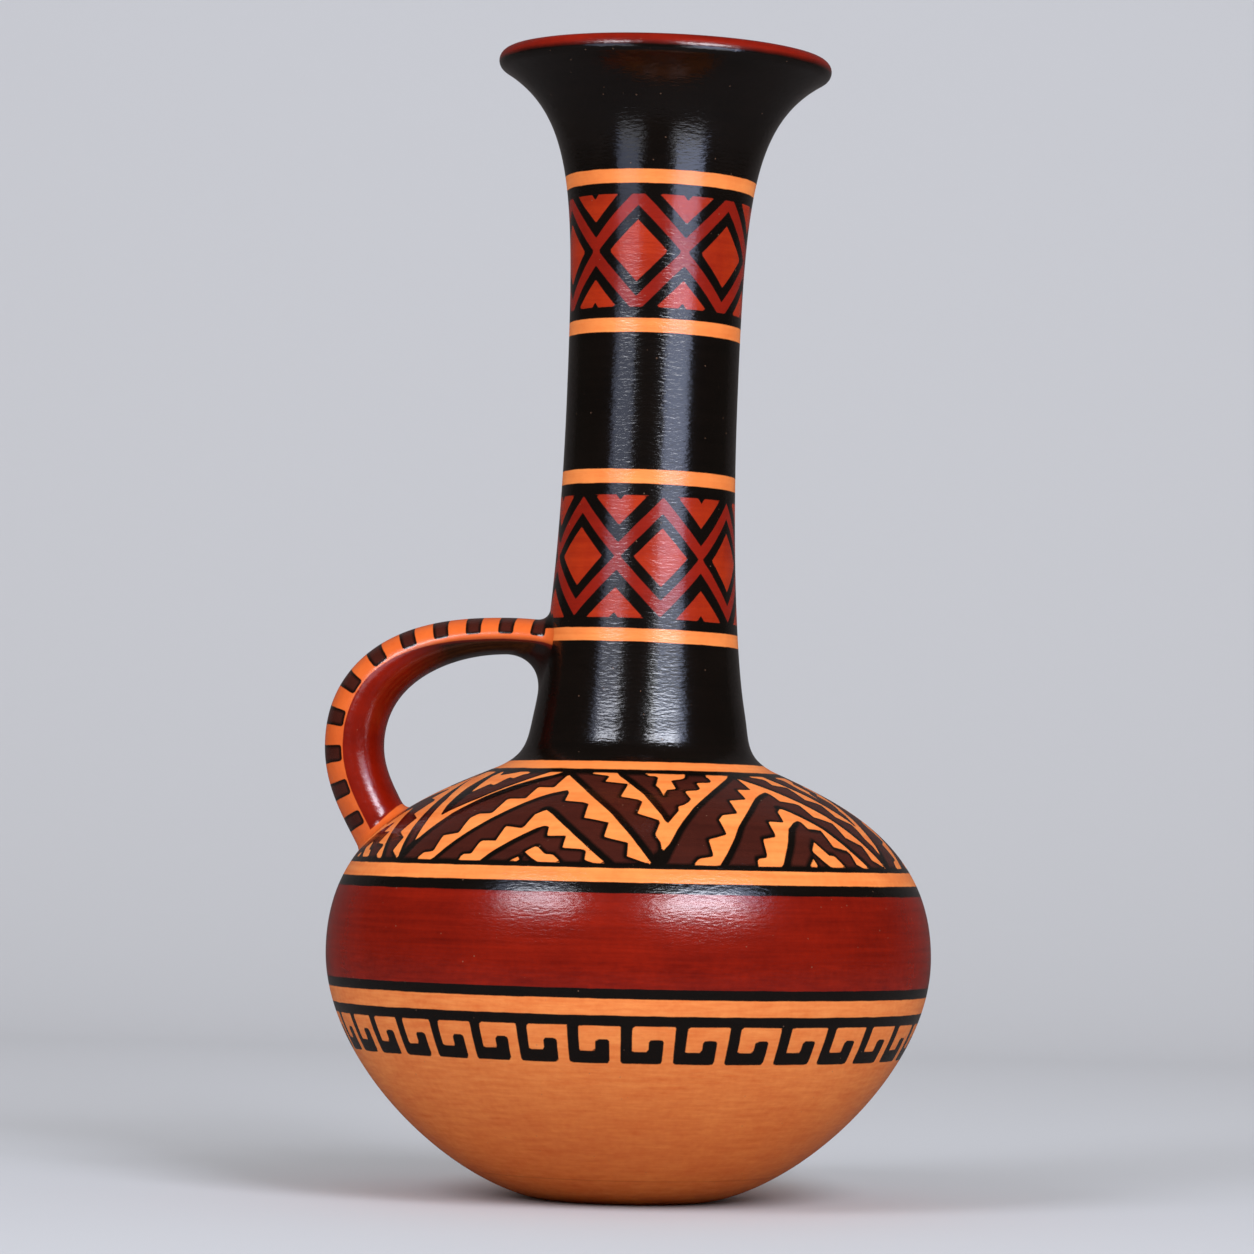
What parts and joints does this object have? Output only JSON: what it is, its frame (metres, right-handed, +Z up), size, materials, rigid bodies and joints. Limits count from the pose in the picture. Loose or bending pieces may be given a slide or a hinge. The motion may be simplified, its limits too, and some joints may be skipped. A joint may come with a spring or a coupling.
{
  "type": "pottery bottle with a strap handle",
  "caption": "Round-bellied painted pottery bottle with a long leaning neck, a flared mouth with a rolled lip, and one looped strap handle.",
  "frame": {"origin": "centre of the flat base on the table, on the belly's axis", "axes": "+Z up along the belly's axis, towards the mouth; the handle stands towards -X, turned 7 degrees from -X towards +Y; -Y is the side that the picture shows"},
  "size_m": [0.2022, 0.1996, 0.3794],
  "materials": {
    "slip_orange": "orange clay slip, burnished, with fine level streaks from the burnishing pebble",
    "slip_polychrome": "deep red, black and orange slips, burnished to a soft gloss",
    "slip_black": "black slip with painted red and orange bands, burnished to a gloss",
    "slip_red": "deep red slip, burnished to a gloss",
    "slip_handle": "orange and red slips with dark painted bars, burnished to a gloss",
    "bare_clay": "unslipped fired clay, matt, smeared by fingers"
  },
  "bodies": {
    "root": {"base_disc": "slip_orange", "base_seam_coil": "bare_clay", "lower_bowl": "slip_orange", "belly_seam_coil": "bare_clay", "shoulder_dome": "slip_polychrome", "neck_seam_coil": "bare_clay", "neck_collar": "slip_black", "neck_tube": "slip_black", "mouth_flare": "slip_black", "lip_coil": "slip_red", "handle_strap": "slip_handle", "handle_upper_wad": "slip_handle", "handle_lower_wad": "slip_handle"}
  },
  "joints": []
}
